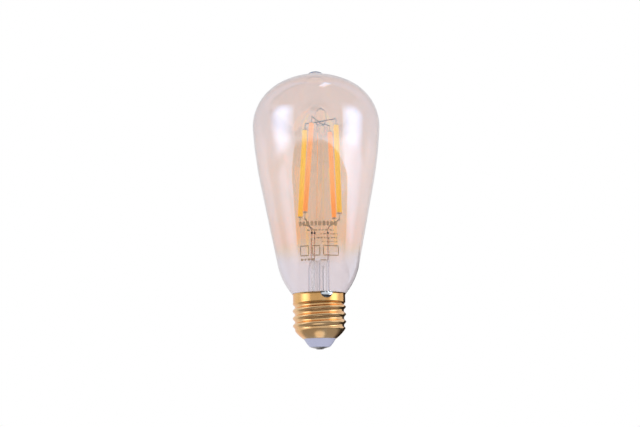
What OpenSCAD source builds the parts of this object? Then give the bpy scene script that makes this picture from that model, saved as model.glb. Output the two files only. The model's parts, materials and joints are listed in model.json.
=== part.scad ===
// Tear-shaped filament lamp with an Edison screw cap and a radio-controlled driver.
// Origin: centre of the contact's flat underside. +Z runs up the axis to the glass tip.
// +X is right and -Y is the front, where the rim's solder joint is.

/* [Glass] */
// Overall height, from the contact to the glass tip
lamp_h = 141.4; // [139:0.1:143]
// Height of the low tip above the dome
tip_h = 2.8; // [2.4:0.1:3.2]
// Radius of the crown of the dome
dome_r = 38.7; // [37.5:0.1:40]
// Radius of the shoulder, where the glass is widest
shoulder_r = 24.4; // [24:0.1:24.8]
// Thickness of the glass
glass_t = 0.8; // [0.6:0.05:1]
// Length of the straight stretch of the flank
flank_l = 40.9; // [39:0.1:42]
// Radius of the bowl above the cap
bowl_r = 32.6; // [32:0.1:33]
// Outer radius of the neck that stands inside the cap
neck_r = 11; // [10.8:0.05:11.1]

/* [Cap] */
// Thread pitch
pitch = 3.629; // [3.5:0.001:3.75]
// Radius of the thread's crests
crest_r = 13.1; // [13:0.01:13.2]
// Radius of the thread's roots
root_r = 12.05; // [12:0.01:12.3]
// Radius of the smooth collar
collar_r = 12.87; // [12.8:0.01:12.95]
// Height of the cap's rim
rim_z = 27.1; // [27:0.05:27.2]
// Thickness of the sheet
shell_t = 0.3; // [0.25:0.01:0.32]
// Direction of the rim's solder joint, from +X
joint_az = -73; // [-90:1:-60]

/* [Mount] */
// Lean of the filament mount towards +X
mount_lean = 1.3; // [0:0.1:1.5]
// Sideways offset of the filament mount
mount_x = 0.35; // [0:0.05:0.4]
// Outer radius of the stem tube
stem_r = 5.3; // [5.2:0.05:5.4]
// Radius of the glass rod
rod_r = 1.85; // [1.6:0.05:2]
// Radius of the mount's wires
wire_r = 0.25; // [0.2:0.01:0.25]

/* [Filaments] */
// Height of the filaments' lower ends
filament_z = 66.7; // [64:0.1:68]
// Length of a filament's coating
filament_l = 45; // [40:0.5:46]
// Width of a filament's coating
filament_w = 2.8; // [2.4:0.1:3]
// Depth of a filament's coating
filament_d = 2.3; // [2:0.1:2.4]
// Chips along one filament
chip_count = 26; // [16:1:30]

/* [Driver] */
// Width of the driver board
board_w = 20; // [18:0.5:20]
// Height of the driver board
board_h = 10; // [9:0.5:10]
// Height of the board's lower edge
board_z = 8.5; // [8.4:0.1:9]

/* [Hidden] */
$fn = 48;

fit = 0.01;          // clearance of a wire in the glass or metal that holds it
over = 1;            // how far a cutting solid runs past a face

// Directions in the lathe's half plane, where 0 degrees points up the axis
function dir(a) = [sin(a), cos(a)];
function angle_of(v) = atan2(v.x, v.y);
function arc(c, r, a, b, n) = [for (i = [0:n]) c + r * dir(a + (b - a) * i / n)];
function unit(v) = v / norm(v);
function mix(a, b, t) = a + (b - a) * t;
function ease(t) = let(u = max(0, min(1, t))) u * u * (3 - 2 * u);

// The glass outline is a chain of tangent arcs: tip, fillet, dome, shoulder, flank and bowl
shoulder_a = 32.9;   // direction where the dome becomes the shoulder
belly_a = 94;        // where the shoulder becomes the long flank
waist_a = 101.4;     // where the flank becomes straight
flank_r = 224;
neck_fillet = 1;
dome_c = [0, lamp_h - tip_h - dome_r];
shoulder_c = dome_c + (dome_r - shoulder_r) * dir(shoulder_a);
flank_c = shoulder_c - (flank_r - shoulder_r) * dir(belly_a);
bowl_c = flank_c + (flank_r - bowl_r) * dir(waist_a) + flank_l * [cos(waist_a), -sin(waist_a)];
// The tip is a low button: a flat crown with a rounded edge
tip_crown_r = 8;
tip_crown_a = 22;
tip_edge_r = 2.2;
tip_crown_c = [0, lamp_h - tip_crown_r];
tip_edge_c = tip_crown_c + (tip_crown_r - tip_edge_r) * dir(tip_crown_a);
// The fillet round the tip touches the tip's edge and the dome from outside
tip_fillet = 2;
tip_rise = tip_edge_c - dome_c;
tip_reach = norm(tip_rise);
fillet_up = (tip_reach + (pow(dome_r + tip_fillet, 2) - pow(tip_edge_r + tip_fillet, 2)) / tip_reach) / 2;
fillet_out = sqrt(pow(dome_r + tip_fillet, 2) - fillet_up * fillet_up);
fillet_c = dome_c + (fillet_up * tip_rise + fillet_out * [tip_rise.y, -tip_rise.x]) / tip_reach;
tip_a = angle_of(fillet_c - tip_edge_c);
dome_a = angle_of(fillet_c - dome_c);
// The fillet at the neck touches the bowl and the neck's wall
neck_c_x = neck_r + neck_fillet;
neck_c = [neck_c_x, bowl_c.y - sqrt(pow(bowl_r + neck_fillet, 2) - pow(neck_c_x - bowl_c.x, 2))];
neck_a = angle_of(neck_c - bowl_c);
function glass_outline(t) = concat(
    arc(tip_crown_c, tip_crown_r - t, 0, tip_crown_a, 4),
    arc(tip_edge_c, tip_edge_r - t, tip_crown_a, tip_a, 5),
    arc(fillet_c, tip_fillet + t, tip_a + 180, dome_a + 180, 6),
    arc(dome_c, dome_r - t, dome_a, shoulder_a, 8),
    arc(shoulder_c, shoulder_r - t, shoulder_a, belly_a, 14),
    arc(flank_c, flank_r - t, belly_a, waist_a, 5),
    arc(bowl_c, bowl_r - t, waist_a, neck_a, 10),
    arc(neck_c, neck_fillet + t, neck_a + 180, 270, 4));
function reversed(v) = [for (i = [len(v) - 1:-1:0]) v[i]];

// Stem: a tube that flares out to the neck, pinched flat round the wires at its top
flare_r = neck_r - stem_r;
flare_z = 26;
neck_end_z = flare_z - flare_r;
pinch_z = 38;
press_z = 43.5;
press_top = 54.7;
press_w = 9.8;
press_d = 3.8;
exhaust_x = -1.4;
exhaust_r = 1.8;
exhaust_z = 20.6;
lean_z = 30;
warm_x = -4;
cool_x = -2.6;
common_x = 3.9;
weld_z = 57.4;
weld_r = 0.55;
press_round = 0.5;
// Rings of the stem, each [height, half width, half depth, how far it is pinched]: outside down, inside up
function pinched(z, top, inset) = let(q = ease((z - pinch_z) / (top - pinch_z)))
    [z, mix(stem_r, press_w / 2, q) - inset, mix(stem_r, press_d / 2, q) - inset, q];
stem_rows = concat(
    [pinched(press_top, press_z, press_round)],
    [for (z = [press_top - press_round, 49, press_z + 1, 43, 42, 41, 40, 39, pinch_z, 32])
        pinched(z, press_z + 1, 0)],
    [for (p = arc([neck_r, flare_z], flare_r, 270, 180, 7)) [p.y, p.x, p.x, 0]],
    [for (p = arc([neck_r, flare_z], flare_r + glass_t, 180, 270, 7)) [p.y, p.x, p.x, 0]],
    [for (z = [32, pinch_z, 39, 40, 41, 42, 42.7, press_z]) pinched(z, press_z + 1, glass_t)]);
stem_columns = 24;
function bulge(v, q) = sign(v) * pow(abs(v), mix(1, 0.7, q));
function stem_point(row, a) = [
    row[1] * bulge(cos(a), row[3]) + row[3] * (mount_x + (row[0] - lean_z) * tan(mount_lean)),
    row[2] * bulge(sin(a), row[3]), row[0]];

// Glass button on the rod
button_r = 3.15;
button_z = 117;
button_h = 10;
bridge_dip = 114.2;  // height at which the warm bridge crosses the rod

// Filament ends on the mount's axes, [x, y], below and above
WARM_LEFT = [[-7.25, -8.1], [-4.5, -8.35]];
WARM_RIGHT = [[7.2, 8.1], [4.9, 8.35]];
COOL_LEFT = [[-10, 5.9], [-8.05, 4.9]];
COOL_RIGHT = [[9.5, -5.9], [7.85, -4.9]];
carrier_w = 1.2;
carrier_d = 0.4;
chip_l = 0.8;
chip_w = 0.5;
chip_d = 0.15;
pin_w = 0.9;
pin_d = 0.3;
pin_l = 4;
shoulder_w = 3;
shoulder_h = 0.5;
weld_gap = 0.6;      // distance of a weld from the pin's end
function low_end(f) = [f[0].x, f[0].y, filament_z];
function high_end(f) = [f[1].x, f[1].y, filament_z + filament_l];
function run_of(f) = unit(high_end(f) - low_end(f));
function inward(p) = -unit([p.x, p.y, 0]) * (pin_d / 2 + wire_r + fit);
function low_weld(f) = let(p = low_end(f) - run_of(f) * (pin_l - weld_gap)) p + inward(p);
function high_weld(f) = let(p = high_end(f) + run_of(f) * (pin_l - weld_gap)) p + inward(p);

// Wire routes, point by point; corners are rounded by turn_r
turn_r = 0.8;
common_tap = (low_weld(WARM_RIGHT) + low_weld(COOL_RIGHT)) / 2;
COMMON_ROUTE = [
    [3.3, -0.1, 17], [3.3, 0, 21], [3.3, 0.6, 25], [3.3, 0.6, 40], [common_x, 0, 44.5],
    [common_x, 0, 59.5], [4.9, 0.2, 61.2], common_tap - [2 * wire_r + fit, 0, 0]
];
WARM_ROUTE = [
    [-6.4, -0.1, 17], [-6.4, -0.1, 19.2], [-3.65, -0.6, 25], [-3.65, -0.6, 40], [warm_x, 0, 44.5],
    [warm_x, 0, 58.5], [-5.4, -2.4, 61], low_weld(WARM_LEFT)
];
COOL_ROUTE = [
    [-2.8, -0.1, 17], [-2.8, -1.2, 20.5], [-2.9, -2.4, 25], [-2.9, -2.4, 39.5], [cool_x, 0, 44.5],
    [cool_x, 0, 58.5], [-4.6, 2.2, 60.6], low_weld(COOL_LEFT)
];
ANTENNA_ROUTE = [[2.4, 5.6, 18.5], [2.4, 5.2, 19.8], [2.3, 2.6, 24.5], [2.3, 2.6, 41]];
LIVE_ROUTE = [[-8.3, 3.8, 8.4], [-6, 2.6, 7.7], [-1, 0.4, 7.5], [0, 0, 6.4], [0, 0, 1.5]];
slot_z = [24.2, 24.9];   // slot in the collar for the neutral wire
slot_mid = (slot_z[0] + slot_z[1]) / 2;
function at_joint(r, z) = [r * cos(joint_az), r * sin(joint_az), z];
NEUTRAL_ROUTE = [
    [7.6, 0.6, 16.8], [7.4, -1.2, 17.4], [5.4, -7.4, 19.3], at_joint(11.28, 19.3),
    at_joint(11.28, slot_mid), at_joint(collar_r + 0.06, slot_mid)
];

// Cap shell: the outer radius at an angle and a height
thread_z = 9.63;     // height of a crest in the +X direction
thread_top = 22.3;   // where the thread runs out into the collar
thread_runout = 1.2; // height over which it does so
crest_power = 1.35;  // above 1 the crests are narrower than the roots
skirt_r = 8.6;       // the skirt flares from here up to the thread
skirt_z = 5.5;
skirt_slope = 1.25;
skirt_curve = 0.075;
skirt_h = 8;         // above this the skirt no longer limits the thread
lip_r = 13.2;
lip_z = 26.3;
function thread_r(a, z) = mix(root_r, crest_r,
    pow((1 + cos(360 * (z - thread_z) / pitch - a)) / 2, crest_power));
function cone_r(z) = let(h = min(z - skirt_z, skirt_h)) skirt_r + skirt_slope * h - skirt_curve * h * h;
function upper_r(z) = mix(collar_r, lip_r, ease((z - lip_z) / (rim_z - lip_z)));
function shell_r(a, z) = min(cone_r(z),
    mix(thread_r(a, z), upper_r(z), ease((z - thread_top) / thread_runout + 0.5)));

// The shell is one closed grid: outside upwards, over the rim, inside downwards, round the low edge
columns = 36;
first_column = joint_az - 180 / columns;
thread_low = 9;
cone_zs = [for (i = [0:4]) mix(skirt_z, thread_low, i / 5)];
thread_zs = [for (z = [thread_low:pitch / 7:thread_top + thread_runout / 2]) z];
collar_zs = [23.3, slot_z[0], slot_z[1], lip_z, 26.6, 26.85, rim_z];
shell_zs = concat(cone_zs, thread_zs, collar_zs);
rows = len(shell_zs);
slot_row = search(slot_z[0], shell_zs)[0];
low_edge = [[8.25, 5.4], [7.9, 5.3], [7.9, 5.12], [8.3, 5.15]];
function ring(a) = concat(
    [for (z = shell_zs) [shell_r(a, z), z]],
    [for (z = reversed(shell_zs)) [shell_r(a, z) - shell_t, z]],
    low_edge);
ring_n = 2 * rows + len(low_edge);
function grid_at(c, k) = ((c + columns) % columns) * ring_n + (k + ring_n) % ring_n;
function inner_row(k) = 2 * rows - 1 - k;
function two(a, b, c, d) = [[a, b, c], [a, c, d]];

// Contact plate and the solder on it
contact_r = 4.5;
contact_top = 1.15;
contact_dome_r = 12.3;
contact_low = 0.22;
solder_r = 2.2;
solder_z = 0.42;
solder_ball_r = 3.75;
solder_ball_z = 3.52;

// The solder joint on the rim: part of a ball that stands out from the collar
joint_ball_r = 5.35;
joint_out = 1.1;
joint_z = 27.2;
joint_gap = 0.08;

// Driver layout
board_t = 1;
board_y = 0.9;       // front face of the driver board
board_back = board_y + board_t;
radio_y = 5.2;
radio_t = 0.8;
sleeve_r = 11.5;
coil_x = 5.2;
coil_y = -4.6;

// ---------------------------------------------------------------- helpers

// A bent wire: rings of points swept along the route, with its corners rounded
function corner(a, p, b, n) = let(
    r = min(turn_r, norm(a - p) / 2.2, norm(b - p) / 2.2),
    s = p + r * unit(a - p), e = p + r * unit(b - p))
    [for (k = [0:n]) let(t = k / n) (1 - t) * (1 - t) * s + 2 * t * (1 - t) * p + t * t * e];
function eased(route) = let(last = len(route) - 1) concat(
    [route[0]],
    [for (i = [1:1:last - 1]) each corner(route[i - 1], route[i], route[i + 1], 3)],
    [route[last]]);
function heading(p, i) = unit(p[min(i + 1, len(p) - 1)] - p[max(i - 1, 0)]);

// Faces of n rings of points joined in a row, closed at both ends
function tube_faces(n, sides) = let(at = function(i, k) i * sides + k % sides) concat(
    [for (i = [0:n - 2], k = [0:sides - 1])
        each two(at(i, k), at(i + 1, k), at(i + 1, k + 1), at(i, k + 1))],
    [[for (k = [0:sides - 1]) k], [for (k = [sides - 1:-1:0]) at(n - 1, k)]]);

module wire(route, r = wire_r, sides = 8) {
    path = eased(route);
    n = len(path);
    points = [for (i = [0:n - 1])
        let(t = heading(path, i), u = unit(cross(t, [0.3, 0.9, 0.1])), v = cross(t, u))
        for (k = [0:sides - 1]) path[i] + r * (cos(360 * k / sides) * u + sin(360 * k / sides) * v)];
    polyhedron(points, tube_faces(n, sides), convexity = 6);
}

// Stands its children at one point, with +Z towards another
module towards(a, b) {
    d = b - a;
    translate(a)
        rotate([0, acos(d.z / norm(d)), atan2(d.y, d.x)])
            children();
}

module bar(a, b, r) {
    towards(a, b)
        cylinder(r = r, h = norm(b - a));
}

// The mount as a whole leans a little in the glass
module leaning() {
    translate([mount_x, 0, lean_z])
        rotate([0, mount_lean, 0])
            translate([0, 0, -lean_z])
                children();
}

// A bar of stadium section, w wide along Y and d deep along X
module stadium_bar(w, d, h) {
    linear_extrude(h) {
        square([d, w - d], center = true);
        for (side = [-1, 1])
            translate([0, side * (w - d) / 2])
                circle(d = d);
    }
}

// A block by its middle in X and Z, its near face in Y, and its size
module block(x, y, z, size) {
    translate([x - size.x / 2, y, z - size.z / 2])
        cube(size);
}

// ---------------------------------------------------------------- glass and mount

module glass_envelope() {
    outside = glass_outline(0);
    inside = reversed(glass_outline(glass_t));
    color([0.85, 0.72, 0.6, 0.4])
        rotate_extrude($fn = 96)
            polygon(concat(outside, [[neck_r, neck_end_z], [neck_r - glass_t, neck_end_z]], inside));
}

module stem_tube() {
    points = [for (row = stem_rows, c = [0:stem_columns - 1]) stem_point(row, -360 * c / stem_columns)];
    color([0.85, 0.85, 0.88, 0.5])
        difference() {
            polyhedron(points, tube_faces(len(stem_rows), stem_columns), convexity = 8);
            leaning()
                for (x = [warm_x, cool_x, common_x])
                    translate([x, 0, press_z - over])
                        cylinder(r = wire_r + fit, h = press_top - press_z + 2 * over);
        }
}

module exhaust_tube() {
    top = press_z - 0.6;
    color([0.85, 0.85, 0.88, 0.5])
        leaning()
            translate([exhaust_x, 0, exhaust_z])
                difference() {
                    union() {
                        translate([0, 0, exhaust_r])
                            cylinder(r = exhaust_r, h = top - exhaust_z - exhaust_r);
                        translate([0, 0, exhaust_r])
                            sphere(r = exhaust_r);
                    }
                    translate([0, 0, exhaust_r])
                        cylinder(r = exhaust_r - 0.6, h = top);
                }
}

module glass_rod() {
    half = button_h / 2;
    swell = [for (i = [0:12]) let(a = -90 + 180 * i / 12)
        [max(button_r * cos(a), a < 0 ? rod_r : 0), button_z + half * sin(a)]];
    color([0.85, 0.78, 0.7, 0.5])
        leaning()
            difference() {
                rotate_extrude()
                    polygon(concat([[0, press_top], [rod_r, press_top]], swell));
                bar(high_weld(COOL_LEFT), high_weld(COOL_RIGHT), wire_r + fit);
                for (f = [WARM_LEFT, WARM_RIGHT])
                    bar([0, 0, bridge_dip], high_weld(f), wire_r + 2 * fit);
                translate([0, 0, bridge_dip])
                    sphere(r = wire_r + 4 * fit, $fn = 24);
            }
}

module common_lead() {
    color([0.55, 0.53, 0.5])
        leaning()
            wire(COMMON_ROUTE);
}

module warm_lead() {
    color([0.6, 0.58, 0.55])
        leaning()
            wire(WARM_ROUTE);
}

module cool_lead() {
    color([0.65, 0.63, 0.6])
        leaning()
            wire(COOL_ROUTE);
}

module lead_welds() {
    color([0.35, 0.33, 0.32])
        leaning()
            for (x = [warm_x, cool_x, common_x])
                translate([x, 0, weld_z])
                    difference() {
                        sphere(r = weld_r, $fn = 24);
                        translate([0, 0, -over])
                            cylinder(r = wire_r + fit, h = 2 * over);
                    }
}

module right_cross_wire() {
    color([0.6, 0.58, 0.55])
        leaning()
            bar(low_weld(WARM_RIGHT), low_weld(COOL_RIGHT), wire_r);
}

module cool_bridge_wire() {
    color([0.6, 0.58, 0.55])
        leaning()
            bar(high_weld(COOL_LEFT), high_weld(COOL_RIGHT), wire_r);
}

module warm_bridge_wire() {
    color([0.6, 0.58, 0.55])
        leaning()
            wire([high_weld(WARM_LEFT), [0, 0, bridge_dip], high_weld(WARM_RIGHT)]);
}

// ---------------------------------------------------------------- filaments

module on_filament(f) {
    leaning()
        towards(low_end(f), high_end(f))
            children();
}

module chip_row() {
    spacing = filament_l / chip_count;
    for (i = [0:chip_count - 1])
        translate([carrier_d / 2, -chip_w / 2, spacing * (i + 0.5) - chip_l / 2])
            cube([chip_d, chip_w, chip_l]);
}

module carrier_strip() {
    translate([-carrier_d / 2, -carrier_w / 2, 0])
        cube([carrier_d, carrier_w, filament_l]);
}

module coating(f, tint) {
    color(tint)
        on_filament(f)
            difference() {
                stadium_bar(filament_w, filament_d, filament_l);
                carrier_strip();
                chip_row();
            }
}

module carrier(f) {
    color("whitesmoke")
        on_filament(f)
            carrier_strip();
}

module chips(f) {
    color("royalblue")
        on_filament(f)
            chip_row();
}

module pins(f) {
    color("silver")
        on_filament(f)
            for (end = [0, 1])
                translate([0, 0, end * filament_l])
                    mirror([0, 0, 1 - end]) {
                        stadium_bar(shoulder_w, filament_d, shoulder_h);
                        translate([-pin_d / 2, -pin_w / 2, 0])
                            cube([pin_d, pin_w, pin_l]);
                    }
}

warm_tint = [1, 0.62, 0.38];
cool_tint = [0.96, 0.8, 0.35];
module warm_left_coating() coating(WARM_LEFT, warm_tint);
module warm_left_carrier() carrier(WARM_LEFT);
module warm_left_chips() chips(WARM_LEFT);
module warm_left_pins() pins(WARM_LEFT);
module warm_right_coating() coating(WARM_RIGHT, warm_tint);
module warm_right_carrier() carrier(WARM_RIGHT);
module warm_right_chips() chips(WARM_RIGHT);
module warm_right_pins() pins(WARM_RIGHT);
module cool_left_coating() coating(COOL_LEFT, cool_tint);
module cool_left_carrier() carrier(COOL_LEFT);
module cool_left_chips() chips(COOL_LEFT);
module cool_left_pins() pins(COOL_LEFT);
module cool_right_coating() coating(COOL_RIGHT, cool_tint);
module cool_right_carrier() carrier(COOL_RIGHT);
module cool_right_chips() chips(COOL_RIGHT);
module cool_right_pins() pins(COOL_RIGHT);

// ---------------------------------------------------------------- cap

module cap_shell() {
    points = [for (c = [0:columns - 1])
        let(a = first_column + 360 * c / columns)
        for (p = ring(a)) [p.x * cos(a), p.x * sin(a), p.y]];
    // Column 0 leaves out one cell, outside and inside, for the neutral wire
    skin = [for (c = [0:columns - 1], k = [0:ring_n - 1])
        if (c > 0 || (k != slot_row && k != inner_row(slot_row + 1)))
            each two(grid_at(c, k), grid_at(c, k + 1), grid_at(c + 1, k + 1), grid_at(c + 1, k))];
    out_lo = slot_row;
    out_hi = slot_row + 1;
    in_lo = inner_row(out_lo);
    in_hi = inner_row(out_hi);
    slot_walls = concat(
        two(grid_at(0, out_lo), grid_at(1, out_lo), grid_at(1, in_lo), grid_at(0, in_lo)),
        two(grid_at(1, out_lo), grid_at(1, out_hi), grid_at(1, in_hi), grid_at(1, in_lo)),
        two(grid_at(1, out_hi), grid_at(0, out_hi), grid_at(0, in_hi), grid_at(1, in_hi)),
        two(grid_at(0, out_hi), grid_at(0, out_lo), grid_at(0, in_lo), grid_at(0, in_hi)));
    color("goldenrod")
        polyhedron(points, concat(skin, slot_walls), convexity = 12);
}

module cap_insulator() {
    color("lavender")
        rotate_extrude()
            polygon([
                [1.5, 1.15], [4.85, 1.15], [5.05, 1.35], [6.35, 2.8], [7.7, 4.9], [7.85, 5.05],
                [7.85, 5.5], [8.05, 5.6], [9.1, 6.6], [9.1, 7], [1.5, 7]
            ]);
}

module centre_contact() {
    color("gainsboro")
        difference() {
            union() {
                intersection() {
                    cylinder(r = contact_r, h = contact_top);
                    translate([0, 0, contact_low + contact_dome_r])
                        sphere(r = contact_dome_r, $fn = 96);
                }
                translate([0, 0, 1])
                    cylinder(r = 1.45, h = 2.4);
            }
            translate([0, 0, -over])
                cylinder(r = 1, h = 6);
            translate([0, 0, -over])
                cylinder(r = solder_r, h = over + solder_z);
        }
}

module tip_solder() {
    color("silver") {
        intersection() {
            cylinder(r = solder_r, h = solder_z);
            translate([0, 0, solder_ball_z])
                sphere(r = solder_ball_r, $fn = 96);
        }
        cylinder(r = 1, h = 1.5);
    }
}

module side_solder() {
    wall_r = collar_r + joint_gap;
    edge_r = lip_r + joint_gap;
    color("silver")
        difference() {
            intersection() {
                translate(at_joint(collar_r + joint_out - joint_ball_r, joint_z))
                    sphere(r = joint_ball_r, $fn = 96);
                cylinder(r = 2 * collar_r, h = rim_z + 0.15);
            }
            translate([0, 0, 20])
                cylinder(r = wall_r, h = 10);
            rotate_extrude($fn = 96)
                polygon([[10, lip_z - 0.1], [wall_r, lip_z - 0.1], [edge_r, rim_z], [edge_r, 30], [10, 30]]);
        }
}

module basing_cement() {
    color("lightgray")
        difference() {
            rotate_extrude()
                polygon([
                    [neck_r + 0.04, 21.2], [11.55, 21.2], [11.55, 23.1],
                    [12.45, 23.1], [12.45, 24.6], [neck_r + 0.04, 24.6]
                ]);
            rotate([0, 0, joint_az])
                translate([0, -0.4, 20])
                    cube([14, 0.8, 6]);
        }
}

module insulating_sleeve() {
    color([0.9, 0.9, 0.85])
        translate([0, 0, 9])
            difference() {
                cylinder(r = sleeve_r, h = 9.9);
                translate([0, 0, -over])
                    cylinder(r = sleeve_r - 0.4, h = 12);
            }
}

// ---------------------------------------------------------------- driver

module driver_board() {
    cut = 1.5;
    half = board_w / 2;
    color("darkgreen")
        translate([0, board_back, board_z])
            rotate([90, 0, 0])
                linear_extrude(board_t)
                    difference() {
                        polygon([
                            [-half, cut], [-half + cut, 0], [half - cut, 0], [half, cut],
                            [half, board_h], [-half, board_h]
                        ]);
                        for (x = [-7, -2.2, 3.4, 7.2])
                            translate([x, 1.2])
                                circle(d = 0.7);
                    }
}

module bridge_rectifier() {
    color([0.12, 0.12, 0.13])
        block(4.6, board_back + 0.1, 16, [4.6, 1.5, 3.6]);
    color("silver")
        for (x = [3.3, 5.9], z = [13.85, 18.15])
            block(x, board_back, z, [0.7, 0.4, 0.7]);
}

module bulk_capacitor() {
    color([0.1, 0.1, 0.14])
        translate([-4.6, -4.9, 8.6])
            difference() {
                cylinder(r = 3.9, h = 9.8);
                translate([0, 0, 1.3])
                    rotate_extrude()
                        translate([4.15, 0])
                            circle(r = 0.5, $fn = 24);
            }
    color("silver")
        for (x = [-5.9, -3.3])
            translate([x, -4.9, 8])
                cylinder(r = 0.25, h = 0.6, $fn = 24);
}

module inductor_core() {
    color([0.25, 0.25, 0.27])
        translate([coil_x, coil_y, 8.7]) {
            cylinder(r = 3.4, h = 0.9);
            cylinder(r = 1.5, h = 6);
            translate([0, 0, 5.1])
                cylinder(r = 3.4, h = 0.9);
        }
}

module inductor_winding() {
    turns = 9;
    turn_d = 4.2 / turns;
    color([0.72, 0.4, 0.2])
        translate([coil_x, coil_y, 9.6])
            difference() {
                union() {
                    cylinder(r = 2.8, h = 4.2);
                    for (i = [0:turns - 1])
                        translate([0, 0, turn_d * (i + 0.5)])
                            rotate_extrude()
                                translate([2.8, 0])
                                    circle(d = turn_d * 0.96, $fn = 16);
                }
                translate([0, 0, -over])
                    cylinder(r = 1.5, h = 8);
            }
}

module fusible_resistor() {
    translate([-8.3, 3.8, 8.4]) {
        color([0.2, 0.45, 0.3])
            translate([0, 0, 1.4]) {
                translate([0, 0, 0.2])
                    cylinder(r = 1, h = 5.2);
                for (z = [0, 4.2])
                    translate([0, 0, z])
                        cylinder(r = 1.2, h = 1.4);
            }
        color("silver")
            cylinder(r = 0.3, h = 9.2, $fn = 24);
    }
}

module small_outline(x, z, body, leads) {
    lead = [0.45, 0.35, 0.7];
    lead_gap = 1.27;
    color([0.12, 0.12, 0.13])
        block(x, board_back + 0.1, z, body);
    color("silver")
        for (i = [0:leads - 1], side = [-1, 1])
            block(x + (i - (leads - 1) / 2) * lead_gap, board_back, z + side * (body.z / 2 + 0.3), lead);
}

module control_chip() {
    small_outline(-4.4, 15.2, [4.9, 1.5, 3.4], 4);
}

module channel_switches() {
    for (x = [-5.4, -2])
        small_outline(x, 10.6, [2.9, 1.1, 1.4], 2);
}

module chip_resistors() {
    color([0.15, 0.15, 0.16])
        for (x = [1.2, 3.2, 5.2, 7.2], z = [10.1, 12.2])
            block(x, board_back, z, [0.8, 0.45, 1.6]);
}

module chip_capacitors() {
    color([0.72, 0.6, 0.45])
        for (p = [[-0.6, 17.4], [-0.6, 14.6], [8.6, 16.4]])
            block(p.x, board_back, p.y, [1.2, 0.8, 2]);
}

module lead_terminals() {
    color("gold")
        for (x = [-6.4, -2.8, 3.3])
            difference() {
                block(x, board_y - 1.5, 17, [1.3, 1.5, 2.4]);
                translate([x, -0.1, 15])
                    cylinder(r = 0.4, h = 4, $fn = 24);
            }
}

module radio_board() {
    color([0.1, 0.3, 0.5])
        block(0, radio_y, 13.4, [14, radio_t, 9.8]);
}

module radio_chip() {
    color([0.12, 0.12, 0.13])
        block(-1.6, radio_y + radio_t, 13.2, [4, 0.8, 4]);
}

module radio_crystal() {
    color("silver")
        block(2.4, radio_y + radio_t, 13.2, [2, 0.7, 2.5]);
}

module radio_shield() {
    lid = [9.4, 1.5, 7.2];
    sheet = 0.2;
    hollow = lid - [2 * sheet, sheet - over, 2 * sheet];
    color("lightgray")
        difference() {
            block(0, radio_y + radio_t, 13.2, lid);
            block(0, radio_y + radio_t - over, 13.2, hollow);
        }
}

module radio_pins() {
    color("gold")
        for (i = [0:4])
            block(-4 + 2 * i, board_back, 9.3, [0.5, radio_y - board_back, 0.5]);
}

module antenna_wire() {
    color([0.2, 0.2, 0.22])
        wire(ANTENNA_ROUTE, 0.35);
}

module live_wire() {
    color("firebrick")
        wire(LIVE_ROUTE, 0.35);
}

module neutral_wire() {
    color("silver")
        wire(NEUTRAL_ROUTE);
}

glass_envelope();
stem_tube();
exhaust_tube();
glass_rod();
common_lead();
warm_lead();
cool_lead();
lead_welds();
right_cross_wire();
cool_bridge_wire();
warm_bridge_wire();
warm_left_coating();
warm_left_carrier();
warm_left_chips();
warm_left_pins();
warm_right_coating();
warm_right_carrier();
warm_right_chips();
warm_right_pins();
cool_left_coating();
cool_left_carrier();
cool_left_chips();
cool_left_pins();
cool_right_coating();
cool_right_carrier();
cool_right_chips();
cool_right_pins();
cap_shell();
cap_insulator();
centre_contact();
tip_solder();
side_solder();
basing_cement();
insulating_sleeve();
driver_board();
bridge_rectifier();
bulk_capacitor();
inductor_core();
inductor_winding();
fusible_resistor();
control_chip();
channel_switches();
chip_resistors();
chip_capacitors();
lead_terminals();
radio_board();
radio_chip();
radio_crystal();
radio_shield();
radio_pins();
antenna_wire();
live_wire();
neutral_wire();
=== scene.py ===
import json
import math

import bpy
from mathutils import Matrix, Quaternion, Vector


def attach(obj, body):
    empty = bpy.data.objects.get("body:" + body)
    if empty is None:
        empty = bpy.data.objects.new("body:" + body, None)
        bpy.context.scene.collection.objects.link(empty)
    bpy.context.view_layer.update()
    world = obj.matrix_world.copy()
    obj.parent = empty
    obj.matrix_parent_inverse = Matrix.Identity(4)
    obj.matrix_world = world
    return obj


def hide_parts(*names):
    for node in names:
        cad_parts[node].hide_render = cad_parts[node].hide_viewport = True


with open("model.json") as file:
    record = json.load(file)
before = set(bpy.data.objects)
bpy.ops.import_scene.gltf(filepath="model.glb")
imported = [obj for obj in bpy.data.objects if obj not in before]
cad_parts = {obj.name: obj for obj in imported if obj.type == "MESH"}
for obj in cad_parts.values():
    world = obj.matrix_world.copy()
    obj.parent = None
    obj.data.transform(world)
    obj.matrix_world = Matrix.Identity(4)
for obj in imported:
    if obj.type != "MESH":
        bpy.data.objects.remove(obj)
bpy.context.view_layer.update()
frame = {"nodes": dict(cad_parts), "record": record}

# ------------------------------------------------------------------ sizes
# Millimetres and degrees, in the part's frame: z = 0 is the underside of the contact, -Y is the front.
MM = 0.001

# Glass: a chain of tangent arcs
LAMP_H, TIP_H = 141.4, 2.8
TIP_CROWN_R, TIP_CROWN_A, TIP_EDGE_R, TIP_FILLET = 8.0, 22.0, 2.2, 2.0
DOME_R, SHOULDER_R, FLANK_R, FLANK_L, BOWL_R = 38.7, 24.4, 224.0, 40.9, 32.6
SHOULDER_A, BELLY_A, WAIST_A = 32.9, 94.0, 101.4
NECK_R, NECK_FILLET, GLASS_T = 11.0, 1.0, 0.8

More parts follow.
